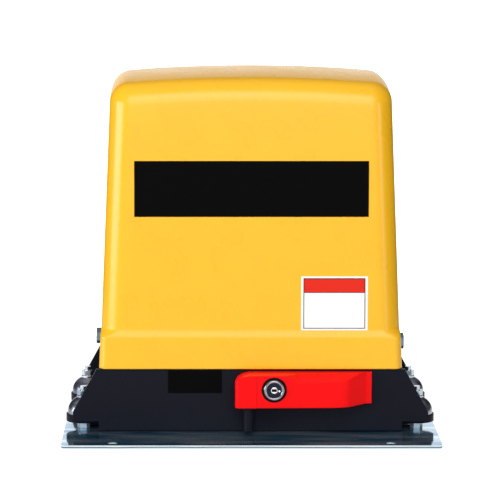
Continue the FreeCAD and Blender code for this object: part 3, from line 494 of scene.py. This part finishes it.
rings = []
steps = SPRING_TURNS * STEPS_PER_TURN
for step in range(steps + 1):
    turn = 2 * math.pi * step / STEPS_PER_TURN
    along = SPRING_ENDS[0] + (SPRING_ENDS[1] - SPRING_ENDS[0]) * step / steps
    ring = []
    for across, beside, level in circle("z", (SPRING_RADIUS, 0), 0, WIRE_RADIUS, WIRE_SIDES):
        ring.append((
            SPRING_CENTRE[0] + across * math.cos(turn),
            along + beside,
            SPRING_CENTRE[1] + across * math.sin(turn),
        ))
    rings.append(ring)
vertices, faces = join_rings(rings)
spring = new_piece("clutch_spring_wire", vertices, faces, finishes["steel"], "output", ROUND_ANGLE)
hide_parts("clutch_spring")
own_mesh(spring)


# Bare panels on the cover and the housing, and a plain framed sticker

PANEL_BACK = 0.05

panel_black = surface("panel_black", (5, 5, 5), 0.45, index=1.1)
panel_white = surface("panel_white", (246, 246, 245), 0.4)
panel_red = surface("panel_red", (226, 48, 34), 0.4)


def front_panel(name, x, z, proud, material):
    """A thin panel lying on the cover's sloping front."""
    rings = []
    for layer in (PANEL_BACK, proud):
        rings.append([
            (side, COVER_FRONT + cover_lean(height) - layer, height) for side, height in rectangle(x, z)
        ])
    vertices, faces = join_rings(rings)
    new_piece(name, vertices, faces, material, "base")


front_panel("front_panel", (-106, 106.8), (201, 251.8), 0.25, panel_black)
front_panel("sticker_sheet", (45.7, 106.5), (97.2, 146.7), 0.15, panel_white)
front_panel("sticker_frame", (47.9, 104.2), (98.8, 145), 0.27, panel_black)
front_panel("sticker_field", (48.6, 103.5), (99.5, 131.6), 0.35, panel_white)
front_panel("sticker_band", (48.6, 103.5), (132.2, 144.3), 0.35, panel_red)
vertices, faces = box_corners((-75.5, -26.2), (-53.3, -53.02), (39.1, 60.3))
new_piece("rating_panel", vertices, faces, panel_black, "base")


# Lock face: a rounded bezel, a bright disc with the key's slot, a black block in the slot as painted shade,
# and the small pin of its shutter

LOCK = (20.9, 46.3)
LOCK_FACE = -76.9
BEZEL_RADIUS = 8.0
BEZEL_FOOT = 0.5
BEZEL_PROUD = 0.8
BEZEL_HALF_WIDTH = 1.2
BEZEL_STEPS = 8
BEZEL_SIDES = 72
DISC_PROFILE = ((-0.35, 2.75), (-0.3, 2.95), (0.3, 3.0))
DISC_SIDES = 48
SLOT_HALF_WIDTH = 2.3
SLOT_HALF_HEIGHT = 1.3
SLOT_CUT = (-90, -60)
KEY_WAY_SHADE = (-0.1, 0.3)
PIN_OFFSET = (4.6, -0.8)
PIN_PROFILE = ((-0.5, 0.5), (-0.3, 0.9), (0.3, 1.0))
PIN_SIDES = 24

lock_bright = surface("lock_bright", (228, 230, 232), 0.2, metallic=1.0)


def lock_turning(centre, profile, sides, closed=True):
    """A turned shape on the lock's face from (depth behind the face, radius) pairs."""
    return join_rings(
        turned("y", centre, [(LOCK_FACE + depth, radius) for depth, radius in profile], sides), closed)


bezel_round = []
for step in range(BEZEL_STEPS + 1):
    turn = math.pi * step / BEZEL_STEPS
    bezel_round.append((
        -BEZEL_FOOT - BEZEL_PROUD * math.sin(turn),
        BEZEL_RADIUS + BEZEL_HALF_WIDTH * math.cos(turn),
    ))
vertices, faces = lock_turning(LOCK, bezel_round, BEZEL_SIDES, closed=False)
new_piece("bezel_ring", vertices, faces, finishes["chrome"], "handle", ROUND_ANGLE)
vertices, faces = lock_turning(LOCK, DISC_PROFILE, DISC_SIDES)
disc = new_piece("lock_disc", vertices, faces, lock_bright, "lock")
slot_x = (LOCK[0] - SLOT_HALF_WIDTH, LOCK[0] + SLOT_HALF_WIDTH)
slot_z = (LOCK[1] - SLOT_HALF_HEIGHT, LOCK[1] + SLOT_HALF_HEIGHT)
carve(disc, shape("key_slot", *box_corners(slot_x, SLOT_CUT, slot_z)))
# Painted shade: a black block in the key's slot stands for the dark inside of the keyway
vertices, faces = box_corners(slot_x, [LOCK_FACE + depth for depth in KEY_WAY_SHADE], slot_z)
new_piece("key_way_shade", vertices, faces, finishes["rubber"], "lock")
pin_place = (LOCK[0] + PIN_OFFSET[0], LOCK[1] + PIN_OFFSET[1])
vertices, faces = lock_turning(pin_place, PIN_PROFILE, PIN_SIDES)
new_piece("shutter_pin", vertices, faces, lock_bright, "lock")


# Floor and surrounding light

WHITE = (1.0, 1.0, 1.0, 1.0)
FLOOR_SIDES = (-0.7, 0.7)
FLOOR_DEPTH = (-1.2, 0.45)
FLOOR_GLOW = 0.8
WORLD_LEFT = 0.25
WORLD_MIDDLE = 0.6
WORLD_RIGHT = 0.03
WORLD_BEHIND = 1.2
BEHIND_RANGE = (0.90, 0.96)
REFLECTED_DIMMING = 0.85
DIMMING_RANGE = (0.1, 0.6)


def seen_directly(tree, strength):
    """A strength that only the camera, reflections and clear pieces see, so that it lights nothing."""
    path = tree.nodes.new("ShaderNodeLightPath")
    total = path.outputs["Is Camera Ray"]
    for kind in ("Is Glossy Ray", "Is Transmission Ray"):
        total = calculate(tree, "MAXIMUM", total, path.outputs[kind])
    return calculate(tree, "MULTIPLY", total, strength)


def studio_world():
    """Surrounding light that is dim on the right. What is behind the object looks dim in reflections,
    apart from a bright middle, and white to the camera."""
    world = bpy.data.worlds.new("studio")
    world.use_nodes = True
    tree = world.node_tree
    direction = split(tree, tree.nodes.new("ShaderNodeTexCoord").outputs["Generated"])
    path = tree.nodes.new("ShaderNodeLightPath")
    levels = zip((0.0, 0.5, 1.0), (WORLD_LEFT, WORLD_MIDDLE, WORLD_RIGHT))
    stops = [(position, (level, level, level, 1.0)) for position, level in levels]
    sideways = ramp(tree, remap(tree, direction["X"], -1.0, 1.0), stops)
    far_side = remap(tree, direction["Y"], *DIMMING_RANGE, to_end=-REFLECTED_DIMMING)
    dimming = calculate(tree, "MULTIPLY_ADD", far_side, path.outputs["Is Glossy Ray"], 1.0)
    dimmed = calculate(tree, "MULTIPLY", dimming, sideways)
    behind = remap(tree, direction["Y"], *BEHIND_RANGE, interpolation="SMOOTHSTEP")
    total = calculate(tree, "MULTIPLY_ADD", behind, seen_directly(tree, WORLD_BEHIND), dimmed)
    white = calculate(tree, "MAXIMUM", total, path.outputs["Is Camera Ray"])
    background = tree.nodes["Background"]
    background.inputs["Color"].default_value = WHITE
    tree.links.new(white, background.inputs["Strength"])
    return world


floor_pale = surface("floor_pale", (190, 190, 190), 0.9, index=1.0)
floor_tree = floor_pale.node_tree
floor_shader = floor_tree.nodes["Principled BSDF"]
floor_shader.inputs["Emission Color"].default_value = WHITE
floor_tree.links.new(seen_directly(floor_tree, FLOOR_GLOW), floor_shader.inputs["Emission Strength"])
floor_mesh = bpy.data.meshes.new("floor")
floor_corners = [(side, depth, 0) for side, depth in rectangle(FLOOR_SIDES, FLOOR_DEPTH)]
floor_mesh.from_pydata(floor_corners, [], [(0, 1, 2, 3)])
floor_mesh.materials.append(floor_pale)
floor = add_object("floor", floor_mesh)
bpy.context.scene.world = studio_world()


# Lights and camera

def area_light(name, place, target, sides, power):
    """A rectangular soft light that faces a point."""
    data = bpy.data.lights.new(name, "AREA")
    data.shape = "RECTANGLE"
    data.size = sides[0]
    data.size_y = sides[1]
    data.energy = power
    light = add_object(name, data)
    light.location = place
    light.rotation_mode = "QUATERNION"
    light.rotation_quaternion = (Vector(target) - Vector(place)).to_track_quat("-Z", "Y")
    return light


area_light("front_box", (0.0, -2.2, 1.8), (0, 0, 0.3), (2.0, 1.4), 29)
area_light("front_fill", (0.1, -3.0, 0.8), (0, 0, 0.3), (2.4, 0.8), 16)
area_light("left_box", (-2.65, -1.25, 0.4), (0, 0, 0.2), (2.0, 1.1), 46)
area_light("right_box", (2.1, -2.0, 0.4), (0, 0, 0.2), (0.7, 1.0), 8)
rear_box = area_light("rear_box", (0, 2.6, 0.8), (0, 0, 0.2), (1.6, 0.8), 22)
rear_box.visible_glossy = False

camera_data = bpy.data.cameras.new("camera")
camera_data.sensor_width = 36
camera_data.lens = 184.18
camera_data.shift_x = 0.11174
camera_data.clip_end = 50
camera = add_object("camera", camera_data)
camera.location = (-0.052, -2.3433, 0.5141)
camera.rotation_euler = (math.radians(81.5), 0, 0)
bpy.context.scene.camera = camera
bpy.context.scene.view_settings.view_transform = "Standard"
